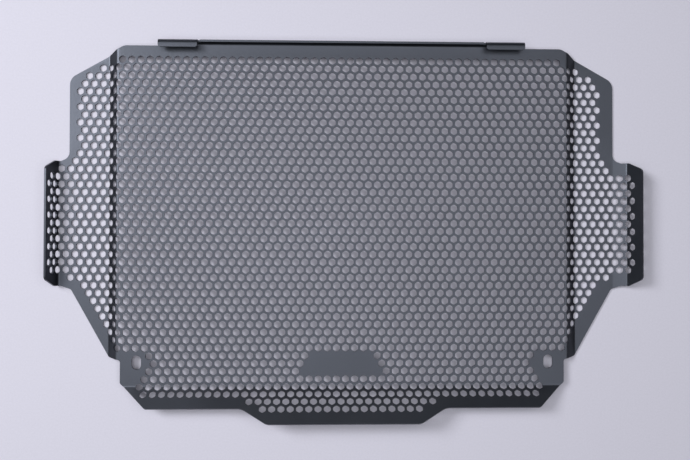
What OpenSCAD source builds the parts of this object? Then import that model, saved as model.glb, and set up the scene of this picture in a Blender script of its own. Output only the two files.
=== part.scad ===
// Motorcycle radiator guard: one perforated sheet, cut as a flat blank and folded.
// It lies with its radiator side up: the panel is raised between two wings, and the
// tabs, the bottom lip and the hooked top flange stand up from it.
// Millimetres. The panel is parallel to XY, and Y runs from the lip to the hooks.

/* [Sheet] */
// Thickness of the sheet
sheet_t = 1.5; // [1:0.1:2]
// Inside radius of every fold
bend_r = 2; // [1.5:0.25:3]

/* [Main panel] */
// Width between the fold lines where the panel drops to the wings
panel_w = 323; // [300:1:360]
// Height from the lip's fold line to the free top edge
panel_h = 243; // [225:1:290]
// Distance of the top edge's ends from those fold lines
top_inset = 4.5; // [2:0.5:12]
// Distance of the panel's side edges below the wings from those fold lines
foot_inset = 2.7; // [1.5:0.1:8]

/* [Wings] */
// Width of a wing and its joggle on the flat blank
wing_out = 36.3; // [33:0.1:42]
// How much narrower a wing is below its tab
wing_step = 1.5; // [0:0.25:3]
// How far the wings lie below the panel
joggle_drop = 4.5; // [3:0.25:7]
// Slope of the two joggles
joggle_angle = 35; // [25:1:50]
// Slope of the shoulders between the top edge and the wings
shoulder_angle = 29.4; // [20:0.2:34]
// Slope of the wings' lower edges
wing_angle = 60.7; // [57:0.1:64]
// Height of the wings' lower ends above the lip's fold line
wing_foot = 20.8; // [16:0.2:26]

/* [Side tabs] */
// How far a tab reaches beyond the wing's edge on the flat blank
tab_out = 23.2; // [19:0.1:30]
// Length of a tab along its fold
tab_root_l = 89.2; // [80:0.2:94]
// How much shorter a tab's free edge is at each of its ends
tab_taper = 5.3; // [3:0.1:10]
// Height of the tabs' middle above the lip's fold line
tab_y = 116; // [112:1:122]
// Slope of the wings' edges towards a tab
tab_flare = 22; // [10:1:30]
// Distance of the left tab's fold from the wing's edge
left_neck = 6.3; // [5:0.1:8]
// Fold of the left tab
left_tab_angle = 70; // [50:1:85]
// Width of the ramp between the right wing's edge and its tab
right_ramp_w = 9.2; // [8:0.1:10.5]
// Fold of that ramp
right_ramp_angle = 17; // [10:1:25]
// Slope of the right tab, ramp included
right_tab_angle = 58; // [45:1:80]

/* [Bottom lip] */
// Fold of the lip
lip_angle = 33; // [20:1:50]
// Width of the lip at its sides
lip_w = 16.7; // [12:0.1:19]
// Width of the lip at its middle tongue
tongue_w = 28.3; // [24:0.1:34]
// Length of the tongue's straight edge
tongue_l = 108; // [80:1:140]
// Slope of the tongue's two ends
tongue_angle = 32.5; // [25:0.5:45]
// Height above the fold line at which the bottom corners are cut off at 45 degrees
corner_y = 2.5; // [0:0.5:6]

/* [Flange and hooks] */
// Distance of the flange's ends from the panel's side fold lines
flange_inset = 31.1; // [22:0.1:60]
// Height of the flange between the hooks, above the panel's mid plane
flange_h = 5; // [4:0.25:7]
// Height of the hooks' mid plane above the panel's
hook_h = 7.5; // [7:0.25:12]
// Width of each hook
hook_w = 27.5; // [15:0.5:40]
// Length of the hooks, from the flange's mid plane
hook_l = 5.2; // [4.6:0.1:8]
// Width of the relief notch beside each hook
notch_w = 1.5; // [1:0.25:3]
// Depth of the relief notch below the flange's edge
notch_d = 1.8; // [1:0.1:2]

/* [Perforation] */
// Distance between holes in a row
hole_pitch = 10.5; // [10:0.25:16]
// Distance between rows
row_pitch = 9; // [8.5:0.1:14]
// Hole diameter
hole_d = 8.2; // [4:0.1:8.4]
// Least metal between a hole and any edge
hole_margin = 2; // [1:0.25:6]
// Distance of a hole column to the right of the centre line
hole_offset = -2; // [-4:0.5:4]
// Height of a hole row above the lip's fold line
hole_row_y = 133; // [125:0.5:141]

/* [Plain field] */
// Height of the plain field's middle above the lip's fold line
field_y = 16.2; // [14:0.2:26]
// Height of the plain field
field_h = 17; // [14:1:24]
// Width of the plain field at its middle
field_w = 53; // [45:1:90]
// Lean of the plain field's two sides
field_lean = 30; // [0:1:40]

/* [Mounting slots] */
// Distance of a slot from the panel's side fold line
slot_inset = 14.2; // [11:0.1:30]
// Height of the slots above the lip's fold line
slot_y = 17.2; // [14:0.2:24]
// Width of a slot
slot_w = 6.6; // [5.5:0.1:8.4]
// Length of a slot
slot_l = 10; // [9:0.5:14]
// Least metal between a slot and a hole
slot_margin = 2.5; // [1.5:0.5:6]

/* [Rounded corners] */
// Radius of the large outline corners
corner_r = 8; // [5:0.5:9]
// Radius of the tab, lip and wing corners
tab_r = 3.5; // [2:0.25:4.5]
// Radius where the tongue runs into the lip
tongue_r = 10; // [4:1:12]
// Radius of the two corners between a wing and the lip
foot_r = 2; // [1:0.25:3]
// Radius of the hooks' corners
hook_r = 1.5; // [1:0.1:1.9]

/* [Hidden] */
$fn = 48;
// Steps of a rounded corner, and the largest turn of one step of a fold
arc_steps = 5;
fold_step = 9;
// How far a flap's section runs back into the panel, and how far the sheet runs on where it is trimmed
lap = 10;
spare = 3;
// Where a tab's slanted ends start, beyond its fold
tab_square = 0.5;
mid_r = bend_r + sheet_t / 2;
half_panel = panel_w / 2;
half_top = half_panel - top_inset;
half_foot = half_panel - foot_inset;
half_wing = half_panel + wing_out;
half_blank = half_wing + tab_out;
flange_w = panel_w - 2 * flange_inset;
slot_x = half_panel - slot_inset;
tab_end_l = tab_root_l - 2 * tab_taper;

// Each row of walls runs from the panel's middle, as [length between fold lines, slope]
joggle = [joggle_drop / sin(joggle_angle), -joggle_angle];
left_walls = reach(reach([[half_panel, 0], joggle, [0, 0], [0, left_tab_angle]],
  2, half_wing + left_neck), 3, half_blank + spare);
right_walls = reach(reach(reach(
  [[half_panel, 0], joggle, [0, 0], [0, right_ramp_angle], [0, right_tab_angle]],
  2, half_wing), 3, half_wing + right_ramp_w), 4, half_blank + spare);
lip_walls = reach([[panel_h / 2, 0], [0, lip_angle]], 1, panel_h / 2 + tongue_w + spare);
flange_walls = [[panel_h / 2 + mid_r, 0], [flange_h, 90]];
hook_walls = [[panel_h / 2 + mid_r, 0], [hook_h, 90], [hook_l, 180]];

// A fold's turn, the setback it takes from each wall beside it, and its length
function turn(w, i) = i > 0 && i < len(w) ? w[i][1] - w[i - 1][1] : 0;
function setback(w, i) = mid_r * tan(abs(turn(w, i)) / 2);
function arc(w, i) = mid_r * abs(turn(w, i)) * PI / 180;
function straight(w, i) = w[i][0] - setback(w, i) - setback(w, i + 1);
function dir(a) = [cos(a), sin(a)];
function normal(a) = [-sin(a), cos(a)];
// Where wall i starts: along the blank, and as the folded corner point
function start(w, i) = i == 0 ? 0 : start(w, i - 1) + straight(w, i - 1) + arc(w, i);
function corner(w, i) = i == 0 ? [0, 0] : corner(w, i - 1) + w[i - 1][0] * dir(w[i - 1][1]);
function centre(w, i) = corner(w, i) - setback(w, i) * dir(w[i - 1][1])
  + sign(turn(w, i)) * mid_r * normal(w[i - 1][1]);
// Gives wall i the length at which its straight part ends at the place s along the blank
function reach(w, i, s) = [for (k = [0:len(w) - 1])
  k == i ? [s - start(w, i) + setback(w, i) + setback(w, i + 1), w[i][1]] : w[k]];
// The wall that holds the place s along the blank; a fold counts with the wall after it
function wall_at(w, s, i = 0) =
  i + 1 < len(w) && s > start(w, i) + straight(w, i) ? wall_at(w, s, i + 1) : i;
function into_fold(w, s, i) = i == 0 ? 0 : min(0, s - start(w, i));
function slope_at(w, s) = let (i = wall_at(w, s), f = into_fold(w, s, i))
  w[i][1] + (f < 0 ? f / arc(w, i) * turn(w, i) : 0);
function place(w, s) = let (i = wall_at(w, s), f = into_fold(w, s, i))
  f < 0 ? centre(w, i) - sign(turn(w, i)) * mid_r * normal(slope_at(w, s))
        : corner(w, i) + (setback(w, i) + s - start(w, i)) * dir(w[i][1]);

// The blank's outline, with heights measured from the lip's fold line
low = -panel_h / 2;
root_in = half_wing + left_neck;
root_out = max(start(left_walls, 3), start(right_walls, 4)) + tab_square;
flare = left_neck * tan(tab_flare);
wing_low_y = tab_y - tab_root_l / 2 - flare;
wing_run = (wing_low_y - wing_foot) / tan(wing_angle);
right_edge = [
  [half_top, panel_h, corner_r],
  [half_wing, panel_h - (half_wing - half_top) * tan(shoulder_angle), corner_r],
  [half_wing, tab_y + tab_root_l / 2 + flare, tab_r],
  [root_in, tab_y + tab_root_l / 2, 0],
  [root_out, tab_y + tab_root_l / 2, 0],
  [half_blank, tab_y + tab_end_l / 2, tab_r],
  [half_blank, tab_y - tab_end_l / 2, tab_r],
  [root_out, tab_y - tab_root_l / 2, 0],
  [root_in, tab_y - tab_root_l / 2, 0],
  [half_wing - wing_step, wing_low_y, tab_r],
  [half_wing - wing_step - wing_run, wing_foot, tab_r],
  [half_foot, wing_foot - foot_r, foot_r],
  [half_foot, corner_y, foot_r],
  [half_foot - corner_y - lip_w, -lip_w, tab_r],
  [tongue_l / 2 + (tongue_w - lip_w) / tan(tongue_angle), -lip_w, tongue_r],
  [tongue_l / 2, -tongue_w, corner_r]
];
blank = concat(
  [for (p = right_edge) [p[0], p[1] + low, p[2]]],
  [for (i = [len(right_edge) - 1:-1:0]) [-right_edge[i][0], right_edge[i][1] + low, right_edge[i][2]]]
);

// The outline's corners as arcs
function unit(v) = v / norm(v);
function angle_of(v) = atan2(v[1], v[0]);
function xy(p) = [p[0], p[1]];
function round_corner(p, q, n, r) = r == 0 ? [p] :
  let (a = unit(q - p), b = unit(n - p), half = acos(a * b) / 2,
    mid = p + unit(a + b) * r / sin(half), reach = r / tan(half),
    from = angle_of(p + a * reach - mid), to = angle_of(p + b * reach - mid),
    sweep = (to - from + 540) % 360 - 180)
  [for (k = [0:arc_steps]) mid + r * dir(from + sweep * k / arc_steps)];
function around(pts, i) = pts[(i + len(pts)) % len(pts)];
function rounded(pts) = [for (i = [0:len(pts) - 1])
  each round_corner(xy(pts[i]), xy(around(pts, i - 1)), xy(around(pts, i + 1)), pts[i][2])];
edge = rounded(blank);

// The outline seen from above: the blank's edge with a point at each fold, moved to where it is folded
function fold_ends(w) = [for (i = [1:len(w) - 1]) each [start(w, i) - arc(w, i), start(w, i)]];
function crossings(a, b, stops, k) = let (p = abs(a[k]), q = abs(b[k]), n = len(stops) - 1)
  [for (i = [0:n]) let (s = stops[q > p ? i : n - i])
    if ((s - p) * (s - q) < 0) a + (s - p) / (q - p) * (b - a)];
function seen(p) = let (side = p[0] < 0 ? left_walls : right_walls)
  [sign(p[0]) * place(side, abs(p[0]))[0], p[1] < 0 ? -place(lip_walls, -p[1])[0] : p[1]];
function plan(pts, side) = [for (i = [0:len(pts) - 1]) let (a = pts[i], b = around(pts, i + 1))
  each [for (p = concat([a], crossings(a, b, fold_ends(side), 0), crossings(a, b, fold_ends(lip_walls), 1)))
    seen(p)]];

// Which places on the blank take a hole
slot_reach = (slot_l - slot_w) / 2;
hole_r = hole_d / 2;
rows = ceil((panel_h + tongue_w) / row_pitch);
columns = ceil(half_blank / hole_pitch) + 1;
function to_segment(p, a, b) = let (t = ((p - a) * (b - a)) / ((b - a) * (b - a)))
  norm(p - a - max(0, min(1, t)) * (b - a));
function crosses(p, a, b) = (a[1] > p[1]) != (b[1] > p[1])
  && p[0] < a[0] + (p[1] - a[1]) / (b[1] - a[1]) * (b[0] - a[0]) ? 1 : 0;
function sum(v, i = 0) = i < len(v) ? v[i] + sum(v, i + 1) : 0;
corners = [for (p = blank) xy(p)];
sides = [for (i = [0:len(corners) - 1]) [corners[i], around(corners, i + 1)]];
function inside(p) = sum([for (side = sides) crosses(p, side[0], side[1])]) % 2 == 1;
function to_edge_of_blank(p) = min([for (side = sides) to_segment(p, side[0], side[1])]);
function in_field(p) = let (y = p[1] - low - field_y)
  abs(y) < field_h / 2 + hole_r && abs(p[0] - hole_offset) < field_w / 2 - y * tan(field_lean) + hole_r;
function near_slot(p) = let (y = low + slot_y, q = [abs(p[0]), p[1]])
  to_segment(q, [slot_x, y - slot_reach], [slot_x, y + slot_reach]) < slot_w / 2 + slot_margin + hole_r;
function takes_hole(p) = !in_field(p) && !near_slot(p) && inside(p)
  && to_edge_of_blank(p) > hole_r + hole_margin;
function lattice(i, j) =
  [hole_offset + (i + (abs(j) % 2) / 2) * hole_pitch, low + hole_row_y + j * row_pitch];
holes = [for (j = [-rows:rows]) for (i = [-columns:columns]) let (p = lattice(i, j))
  if (takes_hole(p)) p];

// The section of a row of walls as a closed outline, from the place s on; each fold is a row of short steps
function last_of(w) = len(w) - 1;
function far_end(w) = start(w, last_of(w)) + straight(w, last_of(w));
function steps(w, i) = ceil(abs(turn(w, i)) / fold_step);
function stops(w, from) = concat([from],
  [for (i = [1:last_of(w)]) each [for (k = [steps(w, i):-1:0]) start(w, i) - arc(w, i) * k / steps(w, i)]],
  [far_end(w)]);
function face(w, from, side) =
  [for (s = stops(w, from)) place(w, s) + side * sheet_t / 2 * normal(slope_at(w, s))];
function reversed(v) = [for (i = [len(v) - 1:-1:0]) v[i]];
function mirrored(v) = [for (p = v) [-p[0], p[1]]];
function section(w, from) = concat(face(w, from, 1), reversed(face(w, from, -1)));

// Puts a shape on wall i, where X is the distance along the blank
module on_wall(w, i) {
  c = corner(w, i);
  translate([c[0], 0, c[1]]) rotate([0, -w[i][1], 0]) translate([setback(w, i) - start(w, i), 0, 0])
    children();
}
// Draws an outline given in X and Z as a bar from Y = a to Y = b
module bar(outline, a, b) translate([0, b, 0]) rotate([90, 0, 0]) linear_extrude(b - a) polygon(outline);
module walls(w, a, b) bar(section(w, panel_h / 2 - lap), a, b);
module right() children();
module left() mirror([1, 0, 0]) children();
module below() rotate([0, 0, -90]) children();
module above() rotate([0, 0, 90]) children();

panel_foot = -(start(lip_walls, 1) - arc(lip_walls, 1));
lip_start = -place(lip_walls, start(lip_walls, 1))[0];
low_flange_walls = [[panel_h / 2 + mid_r, 0], [flange_h - notch_d, 90]];
inner_hook = flange_w / 2 - hook_w;
module folded_sheet() {
  bar(concat(mirrored(reversed(face(left_walls, 0, 1))), face(right_walls, 0, 1),
    reversed(face(right_walls, 0, -1)), mirrored(face(left_walls, 0, -1))), panel_foot, panel_h / 2);
  below() walls(lip_walls, -half_foot, half_foot);
  above() walls(low_flange_walls, -flange_w / 2, flange_w / 2);
  above() walls(flange_walls, notch_w - inner_hook, inner_hook - notch_w);
  for (s = [-1, 1]) above() hook(s * (flange_w - hook_w) / 2);
}

// A hook with rounded free corners
module hook(middle) {
  last = last_of(hook_walls);
  difference() {
    walls(hook_walls, middle - hook_w / 2, middle + hook_w / 2);
    for (s = [-1, 1]) translate([0, middle + s * hook_w / 2, 0]) mirror([0, s > 0 ? 1 : 0, 0])
      on_wall(hook_walls, last) translate([far_end(hook_walls), 0, 0]) free_corner(hook_r, sheet_t);
  }
}
// What is cut off a corner at the origin whose sheet lies towards -X and +Y
module free_corner(r, t) difference() {
  translate([-r, -1, -t]) cube([r + 1, r + 1, 2 * t]);
  translate([-r, r, 0]) cylinder(r = r, h = 3 * t, center = true);
}

// What lies outside the blank's outline, cut square to each wall
tab_stands = half_blank - root_in + 4 * sheet_t;
module outside(a, b, c, d) difference() {
  translate([a, c]) square([b - a, d - c]);
  union() children();
}
module side_trim(w) {
  last = last_of(w);
  from = place(w, start(w, last) - arc(w, last))[0];
  translate([0, 0, -joggle_drop - sheet_t]) linear_extrude(joggle_drop + tab_stands)
    outside(flange_w / 2 + 1, half_blank + spare, lip_start, panel_h / 2 + 1) {
      polygon(plan(edge, w));
      translate([from, low + tab_y - tab_root_l / 2]) square([half_blank, tab_root_l]);
    }
}
module tab_trim(w) {
  last = last_of(w);
  on_wall(w, last) translate([0, 0, -2 * sheet_t]) linear_extrude(4 * sheet_t)
    outside(start(w, last), half_blank + 2 * spare, panel_foot - 1, panel_h / 2 + 1) polygon(edge);
}
module lip_trim() on_wall(lip_walls, 1) translate([0, 0, -2 * sheet_t]) linear_extrude(4 * sheet_t)
  outside(start(lip_walls, 1), panel_h / 2 + tongue_w + 2 * spare, -half_foot - 1, half_foot + 1)
    rotate(90) polygon(edge);

// One hole of the perforation, square to the sheet where it lies
module hole(p) {
  on_lip = p[1] < panel_foot;
  w = on_lip ? lip_walls : p[0] < 0 ? left_walls : right_walls;
  s = on_lip ? -p[1] : abs(p[0]);
  at = place(w, s);
  across = on_lip ? p[0] : p[1];
  if (on_lip) below() hole_at(at, across, slope_at(w, s));
  else if (p[0] < 0) left() hole_at(at, across, slope_at(w, s));
  else hole_at(at, across, slope_at(w, s));
}
module hole_at(at, across, slope) translate([at[0], across, at[1]]) rotate([0, -slope, 0])
  cylinder(d = hole_d, h = 5 * sheet_t, center = true);
module slot(x) translate([x, low + slot_y, 0]) {
  for (s = [-1, 1]) translate([0, s * slot_reach, 0]) cylinder(d = slot_w, h = 4 * sheet_t, center = true);
  cube([slot_w, 2 * slot_reach, 4 * sheet_t], center = true);
}

// The origin is under the middle of the part, on the plane that the wings lie on
function outer(w, s) = place(w, s) - sheet_t / 2 * normal(slope_at(w, s));
right_reach = outer(right_walls, half_blank)[0];
left_reach = outer(left_walls, half_blank)[0];
top_reach = panel_h / 2 + bend_r + sheet_t;
lip_reach = max(outer(lip_walls, panel_h / 2 + tongue_w)[0], place(lip_walls, panel_h / 2 + tongue_w)[0]);
module guard() color("#2b2c30")
  translate([(left_reach - right_reach) / 2, (lip_reach - top_reach) / 2, joggle_drop + sheet_t / 2])
    difference() {
      folded_sheet();
      right() side_trim(right_walls);
      left() side_trim(left_walls);
      right() tab_trim(right_walls);
      left() tab_trim(left_walls);
      below() lip_trim();
      for (s = [-1, 1]) slot(s * slot_x);
      for (p = holes) hole(p);
    }

guard();
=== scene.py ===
"""Looks of a motorcycle radiator guard: one perforated, coated sheet that lies on a pale floor.

The sheet is laid out flat, as its blank is cut, with every hole in its place. It is then creased
along its folds, folded up and given its thickness. Lengths are in metres.
"""

import math

import bpy
import numpy as np
from bpy.props import FloatProperty, FloatVectorProperty, IntProperty, PointerProperty
from mathutils import Matrix, Vector


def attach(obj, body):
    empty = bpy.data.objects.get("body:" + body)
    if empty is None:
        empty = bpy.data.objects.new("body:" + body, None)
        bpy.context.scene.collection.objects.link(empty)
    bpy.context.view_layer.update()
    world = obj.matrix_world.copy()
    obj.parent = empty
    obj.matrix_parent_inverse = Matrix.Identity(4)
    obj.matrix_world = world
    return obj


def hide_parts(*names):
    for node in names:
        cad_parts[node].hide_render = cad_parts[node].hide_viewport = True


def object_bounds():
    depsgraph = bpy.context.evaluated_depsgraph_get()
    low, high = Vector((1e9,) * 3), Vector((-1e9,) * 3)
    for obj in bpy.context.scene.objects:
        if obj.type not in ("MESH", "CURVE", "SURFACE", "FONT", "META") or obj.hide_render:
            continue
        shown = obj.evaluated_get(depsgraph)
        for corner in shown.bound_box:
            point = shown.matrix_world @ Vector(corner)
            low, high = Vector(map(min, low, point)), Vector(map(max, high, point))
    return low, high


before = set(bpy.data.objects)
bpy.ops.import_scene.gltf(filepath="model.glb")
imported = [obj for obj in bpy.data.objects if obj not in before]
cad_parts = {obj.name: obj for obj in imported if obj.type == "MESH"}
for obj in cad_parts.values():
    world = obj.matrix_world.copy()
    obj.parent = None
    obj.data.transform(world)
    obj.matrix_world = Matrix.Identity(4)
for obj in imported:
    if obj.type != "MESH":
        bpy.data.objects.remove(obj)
cad_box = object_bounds()

bl_info = {
    "name": "Radiator guard",
    "version": (1, 0, 0),
    "blender": (4, 5, 0),
    "location": "3D View > Sidebar > Radiator guard",
    "description": "Lays out, folds and finishes a perforated radiator guard",
    "category": "Object",
}

# Small lengths of the blank's outline
ROOT_CLEARANCE = 0.005  # from a wing's edge to the tab's root, at least
ROOT_OVERLAP = 0.0005
WING_INSET = 0.0015  # of the wings' lower edges
FOOT_STEP = 0.002

# How the mesh is laid out
ARC_STEPS = 6
SLOT_POINTS = 30
CELL_RIM = 1.2  # the cell's outline before it is brought to size, as a share of the hole
EASED_SIDES = 12
TIP_SLACK = 0.0002
CELL_MERGE = 0.00002
CREASE_MERGE = 0.000002
HOOK_SLACK = 0.00001
FLANGE_CORNERS = 6
SMOOTH_ANGLE = math.radians(30)

# The coat: paler patches, their matt tone and the orange peel
PATCH_SCALE, PATCH_DETAIL = 22, 4
PATCH_EDGES = (0.35, 0.7)
MATT_EDGES = (0.3, 0.7)
MATT_SPREAD = 0.03
PEEL_DETAIL = 2
PEEL_STRENGTH, PEEL_DEPTH = 0.25, 0.0002

# The floor's grain
FLOOR_SIZE = 4
FLOOR_ROUGHNESS = 0.9
GRAIN_SCALE, GRAIN_DETAIL = 700, 3
GRAIN_EDGES = (0.3, 0.7)
GRAIN_SHADE = 0.96

# The lamps' colour, and the camera as it was fitted to the photograph
LAMP_COLOUR = (0.96, 0.97, 1.0)
CAMERA_TURN = (-0.713, 1.731, -0.104)  # degrees
CAMERA_AIM = (-0.00268, 0.02139, 0)  # from the middle hole of the counted row
PANEL_SHIFT = 0.001566  # how far the panel's middle is left of the origin
SENSOR_WIDTH = 36


def length(name, description, default):
    """A size of the guard, in metres."""
    return FloatProperty(name=name, description=description, default=default, min=0.0,
                         unit="LENGTH", subtype="DISTANCE", precision=5)


def angle(name, description, degrees):
    """A slope or fold of the guard, given here in degrees."""
    return FloatProperty(name=name, description=description, default=math.radians(degrees),
                         unit="ROTATION", subtype="ANGLE")


def colour(name, description, default):
    """A colour without alpha."""
    return FloatVectorProperty(name=name, description=description, default=default, size=3,
                               min=0.0, max=1.0, subtype="COLOR")


def count(name, description, default):
    """A number of rows, holes or half pitches."""
    return IntProperty(name=name, description=description, default=default, min=0)


def share(name, description, default, most=1.0):
    """A number without a unit."""
    return FloatProperty(name=name, description=description, default=default, min=0.0, max=most)


def spot(name, description, default):
    """A place on the stage, in metres."""
    return FloatVectorProperty(name=name, description=description, default=default, size=3,
                               unit="LENGTH", subtype="TRANSLATION")


class SheetSizes(bpy.types.PropertyGroup):
    thickness: length("Thickness", "Thickness of the sheet", 0.0015)
    bend_radius: length("Bend radius", "Inside radius of every fold", 0.002)
    panel_width: length("Panel width", "Width between the joggles' upper fold lines", 0.323)
    panel_height: length("Panel height", "Height from the lip's fold to the top edge", 0.243)
    top_width: length("Top width", "Width of the straight top edge", 0.314)
    foot_width: length("Foot width", "Width of the panel below the wings", 0.3176)
    joggle_drop: length("Joggle drop", "How far the wings lie below the panel", 0.0045)
    joggle_angle: angle("Joggle angle", "Slope of the joggles", 35)
    wing_width: length("Wing width", "Width over both wings, laid flat", 0.3956)
    shoulder_angle: angle("Shoulder angle", "Slope of the shoulders", 29.4)
    wing_angle: angle("Wing angle", "Slope of the wings' lower edges", 60.7)
    wing_foot: length("Wing foot", "Height of the wings' lower ends", 0.0208)
    blank_width: length("Blank width", "Width over both tabs, laid flat", 0.442)
    tab_root: length("Tab root", "Length of a tab along its fold", 0.0892)
    tab_end: length("Tab end", "Length of a tab's free edge", 0.0786)
    tab_height: length("Tab height", "Height of the tabs' middle above the lip's fold", 0.116)
    tab_flare: angle("Tab flare", "Slope of the wings' edges towards a tab", 22)
    left_wing: length("Left wing", "Left wing from joggle to tab", 0.0368)
    left_tab: angle("Left tab", "Slope of the left tab", 76)
    right_wing: length("Right wing", "Right wing from joggle to ramp", 0.02897)
    right_ramp: length("Right ramp", "Width of the ramp beside the right tab", 0.0099)
    ramp_angle: angle("Ramp angle", "Slope of the ramp", 17)
    right_tab: angle("Right tab", "Slope of the right tab", 58)
    lip_angle: angle("Lip angle", "Slope of the bottom lip", 33)
    lip_width: length("Lip width", "Width of the lip at its sides", 0.0167)
    tongue_width: length("Tongue width", "Width of the lip at its middle tongue", 0.0283)
    tongue_length: length("Tongue length", "Length of the tongue's edge", 0.108)
    tongue_angle: angle("Tongue angle", "Slope of the tongue's ends", 32.5)
    corner_height: length("Corner height", "Where the bottom corners are cut off", 0.0025)
    flange_width: length("Flange width", "Width over the flange and its hooks", 0.2608)
    flange_shift: length("Flange shift", "How far the flange is left of the middle", 0.0013)
    flange_height: length("Flange height", "Height of the flange above the panel", 0.005)
    hook_height: length("Hook height", "Height of the hooks above the panel", 0.0075)
    hook_width: length("Hook width", "Width of a hook", 0.0275)
    hook_length: length("Hook length", "Length of a hook from the flange", 0.0052)
    notch_width: length("Notch width", "Width of the notch beside a hook", 0.0015)
    notch_depth: length("Notch depth", "Depth of that notch", 0.0018)
    corner_radius: length("Corner radius", "Radius of the large corners", 0.008)
    tab_radius: length("Tab radius", "Radius of the tab, lip and wing corners", 0.0035)
    flare_radius: length("Flare radius", "Radius where a wing's edge turns out to a tab", 0.006)
    tongue_radius: length("Tongue radius", "Radius where the tongue meets the lip", 0.010)
    hook_radius: length("Hook radius", "Radius of the hooks' corners", 0.0015)
    slot_spacing: length("Slot spacing", "Distance of the two slots", 0.2946)
    slot_height: length("Slot height", "Height of the slots above the lip's fold", 0.0172)
    slot_width: length("Slot width", "Width of a slot", 0.0066)
    slot_length: length("Slot length", "Length of a slot", 0.010)
    fold_step: angle("Fold step", "Largest turn between two creases of a fold", 9)


class HoleSizes(bpy.types.PropertyGroup):
    pitch: length("Pitch", "Distance between holes in a row", 0.0065)
    row_pitch: length("Row pitch", "Distance between rows", 0.005562)
    across: length("Across flats", "Width of a six-sided hole", 0.0049)
    corner: length("Corner", "How far a hole's corners are eased", 0.0005)
    margin: length("Margin", "Least metal between a hole and an edge", 0.0029)
    slot_margin: length("Slot margin", "Least metal between a hole and a slot", 0.002)
    top_margin: length("Top margin", "Least metal between a hole and the flange's fold", 0.004)
    column_shift: length("Column shift", "How far a column is left of the middle", 0.002)
    row_height: length("Row height", "Height of one row above the lip's fold", 0.133)
    field_rows: count("Field rows", "Rows left out of the plain field", 3)
    field_low: count("Lowest field row", "Rows from the counted row down to the field's lowest", 22)
    field_holes: count("Field holes", "Holes left out of the field's upper row", 7)
    tab_row: count("Tab row", "Rows down to the middle one of those that reach onto the tabs", 3)
    tab_rows: count("Tab rows", "Rows above and below that one that reach onto the tabs", 6)
    tab_column: count("Tab column", "Half pitches from the middle to the tabs' last hole", 66)
    neck_column: count("Neck column", "The same for the rows beside those", 60)
    left_extra: count("Left extra", "Holes more at the left of the row above the tab rows", 1)
    wing_column: count("Wing column", "The same for the rows above the tabs", 58)
    top_column: count("Top column", "The same for the top row", 48)
    foot_row: count("Foot row", "Rows down to the one that stops furthest from the slots", 21)
    foot_column: count("Foot column", "Half pitches from the middle to that row's last hole", 41)


class CoatLook(bpy.types.PropertyGroup):
    dark: colour("Coat", "Colour of the powder coat", (0.0025, 0.003, 0.004))
    light: colour("Coat, worn", "Colour where the coat is a little paler", (0.0045, 0.005, 0.0065))
    gloss: share("Gloss", "How strongly the coat reflects", 1.0)
    index: share("Index", "Refractive index of the coat", 1.57, 3.0)
    sheen: colour("Gloss colour", "Tint of the coat's reflections", (0.78, 0.84, 1.0))
    roughness: share("Roughness", "How matt the coat is", 0.42)
    grain: length("Grain", "Size of the coat's orange peel", 0.0011)
    floor: colour("Floor", "Colour of the floor", (0.7, 0.685, 0.77))


class StageSizes(bpy.types.PropertyGroup):
    lens: share("Lens", "Focal length in millimetres, on a sensor 36 mm wide", 39.13, 500.0)
    distance: length("Camera distance", "From the camera to the panel's plane", 0.5386)
    softbox: spot("Softbox", "Middle of the large soft light over the guard", (-0.05, 0.0, 1.1))
    softbox_width: length("Softbox width", "Width of the softbox", 1.7)
    softbox_depth: length("Softbox depth", "Depth of the softbox", 1.1)
    softbox_power: share("Softbox power", "Power of the softbox, in watts", 10.0, 500.0)
    key: spot("Key light", "Middle of the light that casts the shadows", (-0.95, 0.42, 1.05))
    key_size: length("Key size", "Side of the key light", 0.5)
    key_power: share("Key power", "Power of the key light, in watts", 12.5, 500.0)
    fill: share("Fill", "Strength of the light from all around", 0.03)


class Walls:
    """A row of flat walls with a fold between each two, as (length between fold lines, slope)."""

    def __init__(self, walls, radius, edge=None):
        self.walls, self.radius = [list(w) for w in walls], radius
        if edge is not None:
            last = len(walls) - 1
            self.walls[last][0] = edge - self.start(last) + self.setback(last)

    def turn(self, i):
        return self.walls[i][1] - self.walls[i - 1][1] if 0 < i < len(self.walls) else 0.0

    def setback(self, i):
        return self.radius * math.tan(abs(self.turn(i)) / 2)

    def arc(self, i):
        return self.radius * abs(self.turn(i))

    def straight(self, i):
        return self.walls[i][0] - self.setback(i) - self.setback(i + 1)

    def start(self, i):
        return 0.0 if i == 0 else self.start(i - 1) + self.straight(i - 1) + self.arc(i)

    def end(self):
        last = len(self.walls) - 1
        return self.start(last) + self.straight(last)

    def creases(self, step):
        """Where the flat sheet is creased for its folds."""
        lines = []
        for i in range(1, len(self.walls)):
            count = math.ceil(abs(self.turn(i)) / step)
            lines += [self.start(i) - self.arc(i) * k / count for k in range(count + 1)]
        return lines

    def place(self, s):
        """Where the flat distances s end up: how far along, and how high."""
        s = np.asarray(s, float)
        along, up = s.copy(), np.zeros_like(s)
        corner = np.zeros(2)
        for i in range(1, len(self.walls)):
            reach, before = self.walls[i - 1]
            after = self.walls[i][1]
            corner = corner + reach * np.array((math.cos(before), math.sin(before)))
            side = math.copysign(self.radius, self.turn(i))
            centre = (corner - self.setback(i) * np.array((math.cos(before), math.sin(before)))
                      + side * np.array((-math.sin(before), math.cos(before))))
            bent = s > self.start(i) - self.arc(i)
            slope = before + np.clip((s - self.start(i)) / self.arc(i) + 1, 0, 1) * self.turn(i)
            flat = s > self.start(i)
            far = self.setback(i) + s - self.start(i)
            along = np.where(bent, centre[0] + side * np.sin(slope), along)
            up = np.where(bent, centre[1] - side * np.cos(slope), up)
            along = np.where(flat, corner[0] + far * math.cos(after), along)
            up = np.where(flat, corner[1] + far * math.sin(after), up)
        return along, up


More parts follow.
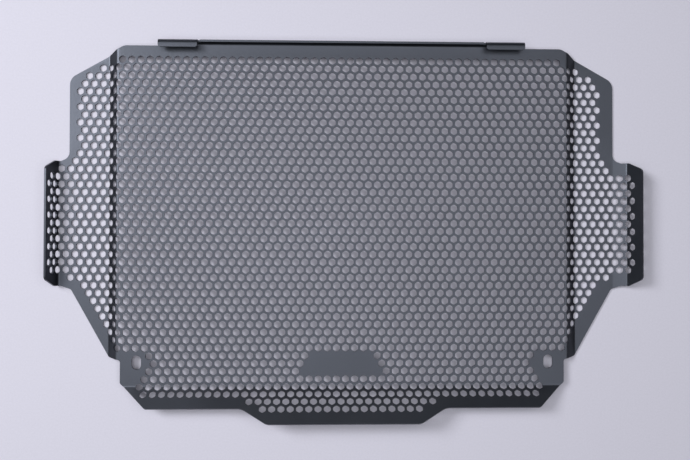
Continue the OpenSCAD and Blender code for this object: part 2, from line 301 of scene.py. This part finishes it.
def folds(z):
    """The guard's rows of walls, each from the panel's middle outwards."""
    radius = z.bend_radius + z.thickness / 2
    joggle = z.joggle_drop / math.sin(z.joggle_angle)
    half, rise = z.panel_width / 2, z.panel_height / 2
    right_angle = math.pi / 2
    return {
        "left": Walls([(half, 0), (joggle, -z.joggle_angle), (z.left_wing, 0), (0, z.left_tab)],
                      radius, z.blank_width / 2),
        "right": Walls([(half, 0), (joggle, -z.joggle_angle), (z.right_wing, 0),
                        (z.right_ramp, z.ramp_angle), (0, z.right_tab)],
                       radius, z.blank_width / 2),
        "lip": Walls([(rise, 0), (0, z.lip_angle)], radius, rise + z.tongue_width),
        "flange": Walls([(rise + radius, 0), (z.flange_height, right_angle)], radius),
        "notch": Walls([(rise + radius, 0), (z.flange_height - z.notch_depth, right_angle)],
                       radius),
        "hook": Walls([(rise + radius, 0), (z.hook_height, right_angle),
                       (z.hook_length, 2 * right_angle)], radius),
    }


def blank_corners(z, rows):
    """The flat blank's corners, as (x, y, radius), from the top's middle to the right and round."""
    low, top = -z.panel_height / 2, z.panel_height / 2
    half_wing, half_blank, half_foot = z.wing_width / 2, z.blank_width / 2, z.foot_width / 2
    left, right = rows["left"], rows["right"]
    root_in = max(left.start(3) - left.arc(3), half_wing + ROOT_CLEARANCE)
    root_out = right.start(4) + ROOT_OVERLAP
    flare = (root_in - half_wing) * math.tan(z.tab_flare)
    wing_low = z.tab_height - z.tab_root / 2 - flare
    wing_run = (wing_low - z.wing_foot) / math.tan(z.wing_angle)
    shoulder = (half_wing - z.top_width / 2) * math.tan(z.shoulder_angle)
    tongue_run = (z.tongue_width - z.lip_width) / math.tan(z.tongue_angle)
    inner = z.flange_width / 2 - z.hook_width
    inset = half_wing - WING_INSET
    half = [
        (inner - z.notch_width, rows["flange"].end(), 0),
        (inner - z.notch_width, rows["notch"].end(), 0),
        (inner, rows["notch"].end(), 0),
        (inner, rows["hook"].end(), z.hook_radius),
        (z.flange_width / 2, rows["hook"].end(), z.hook_radius),
        (z.flange_width / 2, top, 0),
        (z.top_width / 2, top, z.corner_radius),
        (half_wing, top - shoulder, z.corner_radius),
        (half_wing, low + z.tab_height + z.tab_root / 2 + flare, z.flare_radius),
        (root_in, low + z.tab_height + z.tab_root / 2, 0),
        (root_out, low + z.tab_height + z.tab_root / 2, 0),
        (half_blank, low + z.tab_height + z.tab_end / 2, z.tab_radius),
        (half_blank, low + z.tab_height - z.tab_end / 2, z.tab_radius),
        (root_out, low + z.tab_height - z.tab_root / 2, 0),
        (root_in, low + z.tab_height - z.tab_root / 2, 0),
        (inset, low + wing_low, z.tab_radius),
        (inset - wing_run, low + z.wing_foot, z.tab_radius),
        (half_foot, low + z.wing_foot - FOOT_STEP, FOOT_STEP),
        (half_foot, low + z.corner_height, FOOT_STEP),
        (half_foot - z.corner_height - z.lip_width, low - z.lip_width, z.tab_radius),
        (z.tongue_length / 2 + tongue_run, low - z.lip_width, z.tongue_radius),
        (z.tongue_length / 2, low - z.tongue_width, z.corner_radius),
    ]
    both = half + [(-x, y, r) for x, y, r in reversed(half)]
    for k in (*range(FLANGE_CORNERS), *range(len(both) - FLANGE_CORNERS, len(both))):
        x, y, r = both[k]
        both[k] = (x - z.flange_shift, y, r)
    return both


def rounded(corners, steps=ARC_STEPS):
    """The corners with their radii, as points."""
    points = []
    for k, (x, y, r) in enumerate(corners):
        here = Vector((x, y))
        if r == 0:
            points.append(here)
            continue
        back = (Vector(corners[k - 1][:2]) - here).normalized()
        on = (Vector(corners[(k + 1) % len(corners)][:2]) - here).normalized()
        half = back.angle(on) / 2
        mid = here + (back + on).normalized() * r / math.sin(half)
        first = here + back * r / math.tan(half) - mid
        last = here + on * r / math.tan(half) - mid
        sweep = first.angle_signed(last)
        points += [mid + Matrix.Rotation(-sweep * n / steps, 2) @ first for n in range(steps + 1)]
    return points


def gap_to_line(points, a, b):
    """Distance of each point from the line between a and b."""
    a, b = np.asarray(a, float), np.asarray(b, float)
    t = np.clip((points - a) @ (b - a) / ((b - a) @ (b - a)), 0, 1)
    return np.linalg.norm(points - a - t[:, None] * (b - a), axis=1)


def takes_hole(points, z, h, corners):
    """Which places on the blank take a hole.

    The plain areas are the same on both sides of the pattern's middle, which isn't the blank's.
    """
    radius = h.across / math.sqrt(3)
    low = -z.panel_height / 2
    points = np.stack([points[:, 0] + h.column_shift, points[:, 1]], 1)
    x, y = points[:, 0], points[:, 1]
    inside = np.zeros(len(points), bool)
    room = np.full(len(points), 1.0)
    for k in range(len(corners)):
        a, b = corners[k - 1][:2], corners[k][:2]
        room = np.minimum(room, gap_to_line(points, a, b))
        if a[1] != b[1]:
            crosses = (a[1] > y) != (b[1] > y)
            inside ^= crosses & (x < a[0] + (y - a[1]) / (b[1] - a[1]) * (b[0] - a[0]))
    slot_x, slot_y = z.slot_spacing / 2, low + z.slot_height
    reach = (z.slot_length - z.slot_width) / 2
    folded = np.stack([np.abs(x), y], 1)
    to_slot = gap_to_line(folded, (slot_x, slot_y - reach), (slot_x, slot_y + reach))
    clear = to_slot > z.slot_width / 2 + h.slot_margin + radius
    row = np.rint((low + h.row_height - y) / h.row_pitch)
    column = np.rint(2 * x / h.pitch)
    wide = h.field_holes + h.field_rows - 1 + row - h.field_low
    field_rows = (row <= h.field_low) & (row > h.field_low - h.field_rows)
    in_field = field_rows & (np.abs(column) < wide)
    foot_end = h.foot_column + np.abs(row - h.foot_row)
    in_foot = (row >= h.foot_row - 1) & (np.abs(column) > foot_end)
    highest = np.ceil((h.row_height + h.top_margin + radius - z.panel_height) / h.row_pitch)
    past_top = (row < highest) | (row == highest) & (np.abs(column) > h.top_column)
    beside = np.abs(row - h.tab_row) - h.tab_rows
    higher = row < h.tab_row
    last = np.select([beside <= 0, (beside == 1) | (higher & (beside == 2)), higher],
                     [h.tab_column, h.neck_column, h.wing_column],
                     h.neck_column - 1 - beside)
    last += np.where(higher & (beside == 1) & (column < 0), 2 * h.left_extra, 0)
    return (inside & clear & (np.abs(column) <= last) & ~in_field & ~in_foot & ~past_top
            & (room > radius + h.margin))


def deselect_all():
    if bpy.context.object and bpy.context.object.mode != "OBJECT":
        bpy.ops.object.mode_set(mode="OBJECT")
    bpy.ops.object.select_all(action="DESELECT")


def pick(obj, vertices=None, edges=None, faces=None):
    """In edit mode, selects only what the marks say."""
    bpy.ops.object.mode_set(mode="EDIT")
    kind = "VERT" if vertices is not None else "EDGE" if edges is not None else "FACE"
    bpy.ops.mesh.select_mode(type=kind)
    bpy.ops.mesh.select_all(action="DESELECT")
    bpy.ops.object.mode_set(mode="OBJECT")
    if vertices is not None:
        obj.data.vertices.foreach_set("select", np.asarray(vertices, bool))
    if edges is not None:
        obj.data.edges.foreach_set("select", np.asarray(edges, bool))
    if faces is not None:
        obj.data.polygons.foreach_set("select", np.asarray(faces, bool))
    bpy.ops.object.mode_set(mode="EDIT")


def places(mesh):
    """The vertices' places, one a row."""
    co = np.empty(len(mesh.vertices) * 3)
    mesh.vertices.foreach_get("co", co)
    return co.reshape(-1, 3)


def repeat(obj, count, step):
    bpy.ops.object.modifier_add(type="ARRAY")
    array = obj.modifiers[-1]
    array.use_relative_offset = False
    array.use_constant_offset = True
    array.constant_offset_displace = step
    array.count = count
    bpy.ops.object.modifier_apply(modifier=array.name)


def make_cell(h):
    """One hole, closed for now, with its share of the web round it."""
    deselect_all()
    radius = h.across / math.sqrt(3)
    bpy.ops.mesh.primitive_circle_add(vertices=6, radius=radius, fill_type="NGON")
    cell = bpy.context.object
    bpy.ops.object.mode_set(mode="EDIT")
    bpy.ops.mesh.select_mode(type="VERT")
    bpy.ops.mesh.select_all(action="SELECT")
    bpy.ops.mesh.bevel(offset=h.corner, segments=1, affect="VERTICES")
    bpy.ops.mesh.select_all(action="SELECT")
    bpy.ops.mesh.extrude_edges_move()
    bpy.ops.transform.resize(value=(CELL_RIM, CELL_RIM, 1), center_override=(0, 0, 0))
    bpy.ops.object.mode_set(mode="OBJECT")
    co = places(cell.data)
    outer = np.linalg.norm(co, axis=1) > 1.1 * h.across / 2
    ends = np.array([e.vertices[:] for e in cell.data.edges])
    short = np.linalg.norm(co[ends[:, 0]] - co[ends[:, 1]], axis=1) < h.across / 4
    pick(cell, edges=short & outer[ends].all(1))
    bpy.ops.mesh.merge(type="COLLAPSE")
    bpy.ops.object.mode_set(mode="OBJECT")
    co = places(cell.data)
    far = np.linalg.norm(co, axis=1)
    pick(cell, vertices=far > far.max() - TIP_SLACK)
    grow = h.pitch / math.sqrt(3) / far.max()
    squeeze = h.row_pitch / (h.pitch * math.sqrt(3) / 2)
    size = (grow, grow * squeeze, 1)
    bpy.ops.transform.resize(value=size, center_override=(0, 0, 0))
    bpy.ops.object.mode_set(mode="OBJECT")
    return cell


def nearest_places(mesh, first, h):
    """For each face of the web, the place of the hole that it lies nearest to."""
    middles = np.empty(len(mesh.polygons) * 3)
    mesh.polygons.foreach_get("center", middles)
    middles = middles.reshape(-1, 3)[:, :2]
    row = np.rint((middles[:, 1] - first.y) / h.row_pitch)
    best, gap = np.zeros_like(middles), np.full(len(middles), np.inf)
    for near in (row - 1, row, row + 1):
        shift = first.x + near % 2 * h.pitch / 2
        column = np.rint((middles[:, 0] - shift) / h.pitch)
        centre = np.stack([shift + column * h.pitch, first.y + near * h.row_pitch], 1)
        away = np.linalg.norm(middles - centre, axis=1)
        best = np.where((away < gap)[:, None], centre, best)
        gap = np.minimum(gap, away)
    return best


def make_web(z, h, corners):
    """The perforated part of the blank: the cell repeated, and kept where a hole belongs."""
    cell = make_cell(h)
    columns = 2 * math.ceil(z.blank_width / 2 / h.pitch)
    pairs = math.ceil((z.panel_height + z.tongue_width) / h.row_pitch / 2) + 2
    below = 2 * math.ceil((h.row_height + z.tongue_width) / h.row_pitch / 2)
    first = Vector((-h.column_shift - columns // 2 * h.pitch,
                    -z.panel_height / 2 + h.row_height - below * h.row_pitch, 0))
    cell.data.transform(Matrix.Translation(first))
    repeat(cell, columns, (h.pitch, 0, 0))
    repeat(cell, 2, (h.pitch / 2, h.row_pitch, 0))
    repeat(cell, pairs, (0, 2 * h.row_pitch, 0))
    pick(cell, faces=~takes_hole(nearest_places(cell.data, first, h), z, h, corners))
    bpy.ops.mesh.delete(type="FACE")
    bpy.ops.mesh.select_all(action="SELECT")
    bpy.ops.mesh.remove_doubles(threshold=CELL_MERGE)
    bpy.ops.object.mode_set(mode="OBJECT")
    return cell


def make_outlines(z, corners):
    """The blank's edge and its two slots, as closed lines."""
    points = rounded(corners)
    deselect_all()
    bpy.ops.mesh.primitive_circle_add(vertices=len(points))
    edge = bpy.context.object
    edge.data.vertices.foreach_set("co", np.array([(p.x, p.y, 0) for p in points]).ravel())
    lines = [edge]
    stretch = (z.slot_length - z.slot_width) / 2
    for side in (-1, 1):
        middle = (side * z.slot_spacing / 2, z.slot_height - z.panel_height / 2, 0)
        deselect_all()
        bpy.ops.mesh.primitive_circle_add(vertices=SLOT_POINTS, radius=z.slot_width / 2,
                                          location=middle)
        slot = bpy.context.object
        bpy.ops.object.transform_apply(location=True)
        for way in (-1, 1):
            pick(slot, vertices=way * (places(slot.data)[:, 1] - middle[1]) > 0)
            bpy.ops.transform.translate(value=(0, way * stretch, 0))
            bpy.ops.object.mode_set(mode="OBJECT")
        lines.append(slot)
    return lines


def make_blank(z, h, rows):
    """The flat blank: the web, and plain sheet from there to the edges."""
    corners = blank_corners(z, rows)
    blank = make_web(z, h, corners)
    lines = make_outlines(z, corners)
    deselect_all()
    for piece in lines + [blank]:
        piece.select_set(True)
    bpy.context.view_layer.objects.active = blank
    bpy.ops.object.join()
    bpy.ops.object.mode_set(mode="EDIT")
    bpy.ops.mesh.select_mode(type="EDGE")
    bpy.ops.mesh.select_all(action="DESELECT")
    bpy.ops.mesh.select_non_manifold(extend=False, use_wire=True, use_boundary=True,
                                     use_multi_face=False, use_non_contiguous=False,
                                     use_verts=False)
    bpy.ops.mesh.fill(use_beauty=True)
    bpy.ops.object.mode_set(mode="OBJECT")
    pick(blank, faces=[len(p.vertices) == EASED_SIDES for p in blank.data.polygons])
    bpy.ops.mesh.delete(type="ONLY_FACE")
    bpy.ops.mesh.select_all(action="SELECT")
    bpy.ops.mesh.normals_make_consistent(inside=False)
    bpy.ops.object.mode_set(mode="OBJECT")
    return blank


def crease(blank, z, rows):
    """Cuts the flat blank's faces along every line at which it is folded."""
    lines = [((side * s, 0, 0), (1, 0, 0)) for side, row in ((-1, "left"), (1, "right"))
             for s in rows[row].creases(z.fold_step)]
    lines += [((0, side * s, 0), (0, 1, 0)) for side, row in ((-1, "lip"), (1, "hook"))
              for s in rows[row].creases(z.fold_step)]
    pick(blank, faces=np.ones(len(blank.data.polygons), bool))
    for at, across in lines:
        bpy.ops.mesh.select_all(action="SELECT")
        bpy.ops.mesh.bisect(plane_co=at, plane_no=across, threshold=CREASE_MERGE)
    bpy.ops.object.mode_set(mode="OBJECT")


def fold(blank, z, rows):
    """Folds the creased blank, and moves it to where the solid is."""
    co = places(blank.data)
    x, y, up = co[:, 0].copy(), co[:, 1].copy(), np.zeros(len(co))
    for side, row in ((-1, "left"), (1, "right")):
        there = side * co[:, 0] > 0
        along, rise = rows[row].place(np.abs(co[:, 0]))
        x = np.where(there, side * along, x)
        up = np.where(there, rise, up)
    along, rise = rows["lip"].place(-co[:, 1])
    there = co[:, 1] < -rows["lip"].start(1) + rows["lip"].arc(1)
    y, up = np.where(there, -along, y), np.where(there, rise, up)
    above = co[:, 1] > z.panel_height / 2
    hook_edge = z.flange_width / 2 - z.hook_width - HOOK_SLACK
    in_hook = np.abs(co[:, 0] + z.flange_shift) > hook_edge
    for there, row in ((above & ~in_hook, "flange"), (above & in_hook, "hook")):
        along, rise = rows[row].place(co[:, 1])
        y, up = np.where(there, along, y), np.where(there, rise, up)
    x = np.where(above, co[:, 0], x)
    high = cad_box[1]
    half = z.thickness / 2
    right = rows["right"]
    tab_end = right.place(z.blank_width / 2)[0] + half * math.sin(right.walls[-1][1])
    shift_x = high[0] - tab_end
    shift_y = high[1] - (z.panel_height / 2 + z.bend_radius + z.thickness)
    shift_z = z.joggle_drop + half
    out = np.stack([x + shift_x, y + shift_y, up + shift_z], 1)
    blank.data.vertices.foreach_set("co", out.ravel())
    blank.data.update()


def new_material(name):
    """A material that has only its shader and output yet, with its nodes' tree and its shader."""
    material = bpy.data.materials.new(name)
    material.use_nodes = True
    tree = material.node_tree
    tree.nodes.clear()
    output = tree.nodes.new("ShaderNodeOutputMaterial")
    shader = tree.nodes.new("ShaderNodeBsdfPrincipled")
    tree.links.new(shader.outputs["BSDF"], output.inputs["Surface"])
    return material, tree, shader


def add_noise(tree, scale, detail):
    """Noise on the object's own coordinates."""
    place = tree.nodes.new("ShaderNodeTexCoord")
    noise = tree.nodes.new("ShaderNodeTexNoise")
    noise.inputs["Scale"].default_value = scale
    noise.inputs["Detail"].default_value = detail
    tree.links.new(place.outputs["Object"], noise.inputs["Vector"])
    return noise.outputs["Fac"]


def add_tone(tree, noise, edges, colours, shader):
    """Colours the shader between two colours, as the noise goes from the one edge to the other."""
    tone = tree.nodes.new("ShaderNodeValToRGB")
    for stop, edge, rgb in zip(tone.color_ramp.elements, edges, colours):
        stop.position = edge
        stop.color = (*rgb, 1)
    tree.links.new(noise, tone.inputs["Fac"])
    tree.links.new(tone.outputs["Color"], shader.inputs["Base Color"])


def powder_coat(look):
    """Satin black powder coat: a fine orange peel, and patches a little paler and more matt."""
    material, tree, shader = new_material("powder_coat")
    link = tree.links.new
    shader.inputs["Specular IOR Level"].default_value = look.gloss
    shader.inputs["IOR"].default_value = look.index
    shader.inputs["Specular Tint"].default_value = (*look.sheen, 1)
    patches = add_noise(tree, PATCH_SCALE, PATCH_DETAIL)
    add_tone(tree, patches, PATCH_EDGES, (look.dark, look.light), shader)

    matt = tree.nodes.new("ShaderNodeMapRange")
    matt.inputs["From Min"].default_value = MATT_EDGES[0]
    matt.inputs["From Max"].default_value = MATT_EDGES[1]
    matt.inputs["To Min"].default_value = look.roughness - MATT_SPREAD
    matt.inputs["To Max"].default_value = look.roughness + MATT_SPREAD
    link(patches, matt.inputs["Value"])
    link(matt.outputs["Result"], shader.inputs["Roughness"])

    relief = tree.nodes.new("ShaderNodeBump")
    relief.inputs["Strength"].default_value = PEEL_STRENGTH
    relief.inputs["Distance"].default_value = PEEL_DEPTH
    link(add_noise(tree, 1 / look.grain, PEEL_DETAIL), relief.inputs["Height"])
    link(relief.outputs["Normal"], shader.inputs["Normal"])
    return material


def floor_coat(look):
    """A plain pale table top with a very fine grain."""
    material, tree, shader = new_material("pale_floor")
    shader.inputs["Roughness"].default_value = FLOOR_ROUGHNESS
    shader.inputs["Specular IOR Level"].default_value = 0.0
    shade = [c * GRAIN_SHADE for c in look.floor]
    add_tone(tree, add_noise(tree, GRAIN_SCALE, GRAIN_DETAIL), GRAIN_EDGES,
             (shade, look.floor), shader)
    return material


def add_lamp(name, place, size, power, way):
    """A flat light at a place, which shines the way given."""
    turn = Vector(way).to_track_quat("-Z", "Y").to_euler()
    bpy.ops.object.light_add(type="AREA", location=place, rotation=turn)
    lamp = bpy.context.object
    lamp.name = name
    lamp.data.shape = "RECTANGLE"
    lamp.data.size, lamp.data.size_y = size
    lamp.data.energy = power
    lamp.data.color = LAMP_COLOUR


class OBJECT_OT_radiator_guard(bpy.types.Operator):
    """Lays out the perforated blank, folds it and gives it its thickness and coat"""
    bl_idname = "object.radiator_guard"
    bl_label = "Radiator guard"

    def execute(self, context):
        scene = context.scene
        z, h = scene.guard_sheet, scene.guard_holes
        rows = folds(z)
        guard = make_blank(z, h, rows)
        guard.name = "guard_sheet"
        crease(guard, z, rows)
        fold(guard, z, rows)
        bpy.ops.object.modifier_add(type="SOLIDIFY")
        wall = guard.modifiers[-1]
        wall.thickness = z.thickness
        wall.offset = 0
        wall.use_even_offset = True
        bpy.ops.object.modifier_apply(modifier=wall.name)
        pick(guard, faces=np.ones(len(guard.data.polygons), bool))
        bpy.ops.mesh.normals_make_consistent(inside=False)
        bpy.ops.object.mode_set(mode="OBJECT")
        bpy.ops.object.shade_smooth_by_angle(angle=SMOOTH_ANGLE)
        guard.data.materials.clear()
        guard.data.materials.append(powder_coat(scene.guard_coat))
        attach(guard, "root")
        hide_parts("guard")
        guard.data.calc_loop_triangles()
        print("guard_sheet triangles", len(guard.data.loop_triangles))
        return {"FINISHED"}


class SCENE_OT_guard_stage(bpy.types.Operator):
    """Adds the pale floor, the soft light over it and the camera that looks down on the guard"""
    bl_idname = "scene.guard_stage"
    bl_label = "Stage"

    def execute(self, context):
        scene = context.scene
        s, z, h = scene.guard_stage, scene.guard_sheet, scene.guard_holes
        deselect_all()
        bpy.ops.mesh.primitive_plane_add(size=FLOOR_SIZE)
        floor = context.object
        floor.name = "floor"
        floor.data.materials.append(floor_coat(scene.guard_coat))

        softbox_size = (s.softbox_width, s.softbox_depth)
        add_lamp("softbox", s.softbox, softbox_size, s.softbox_power, (0, 0, -1))
        add_lamp("key_light", s.key, (s.key_size, s.key_size), s.key_power, -Vector(s.key))

        world = bpy.data.worlds.new("room")
        world.use_nodes = True
        background = world.node_tree.nodes["Background"]
        background.inputs["Color"].default_value = (1, 1, 1, 1)
        background.inputs["Strength"].default_value = s.fill
        scene.world = world

        about_x, about_y, about_z = (Matrix.Rotation(math.radians(degrees), 3, axis)
                                     for degrees, axis in zip(CAMERA_TURN, "XYZ"))
        turn = (about_x @ about_y @ about_z).transposed()
        view = turn @ (Vector((0, 0, s.distance)) - Vector(CAMERA_AIM))
        top = z.panel_height / 2 + z.bend_radius + z.thickness
        counted = Vector((-h.column_shift - PANEL_SHIFT,
                          cad_box[1][1] - top + h.row_height - z.panel_height / 2,
                          z.joggle_drop + z.thickness / 2))
        bpy.ops.object.camera_add()
        camera = context.object
        camera.matrix_world = Matrix.Translation(view + counted) @ turn.to_4x4()
        camera.data.sensor_fit = "HORIZONTAL"
        camera.data.sensor_width = SENSOR_WIDTH
        camera.data.lens = s.lens
        scene.camera = camera
        scene.view_settings.view_transform = "Standard"
        return {"FINISHED"}


class VIEW3D_PT_radiator_guard(bpy.types.Panel):
    """Lists the steps that build the guard"""
    bl_label = "Radiator guard"
    bl_space_type = "VIEW_3D"
    bl_region_type = "UI"
    bl_category = "Radiator guard"

    def draw(self, context):
        self.layout.operator("object.radiator_guard")
        self.layout.operator("scene.guard_stage")
        for group in ("guard_sheet", "guard_holes", "guard_coat", "guard_stage"):
            settings = getattr(context.scene, group)
            box = self.layout.box()
            for name in settings.__annotations__:
                box.prop(settings, name)


CLASSES = (SheetSizes, HoleSizes, CoatLook, StageSizes, OBJECT_OT_radiator_guard,
           SCENE_OT_guard_stage, VIEW3D_PT_radiator_guard)


def register():
    for cls in CLASSES:
        bpy.utils.register_class(cls)
    bpy.types.Scene.guard_sheet = PointerProperty(type=SheetSizes)
    bpy.types.Scene.guard_holes = PointerProperty(type=HoleSizes)
    bpy.types.Scene.guard_coat = PointerProperty(type=CoatLook)
    bpy.types.Scene.guard_stage = PointerProperty(type=StageSizes)


def unregister():
    for name in ("guard_sheet", "guard_holes", "guard_coat", "guard_stage"):
        delattr(bpy.types.Scene, name)
    for cls in reversed(CLASSES):
        bpy.utils.unregister_class(cls)


def main():
    register()
    bpy.ops.object.radiator_guard()
    bpy.ops.scene.guard_stage()


if __name__ == "__main__":
    main()
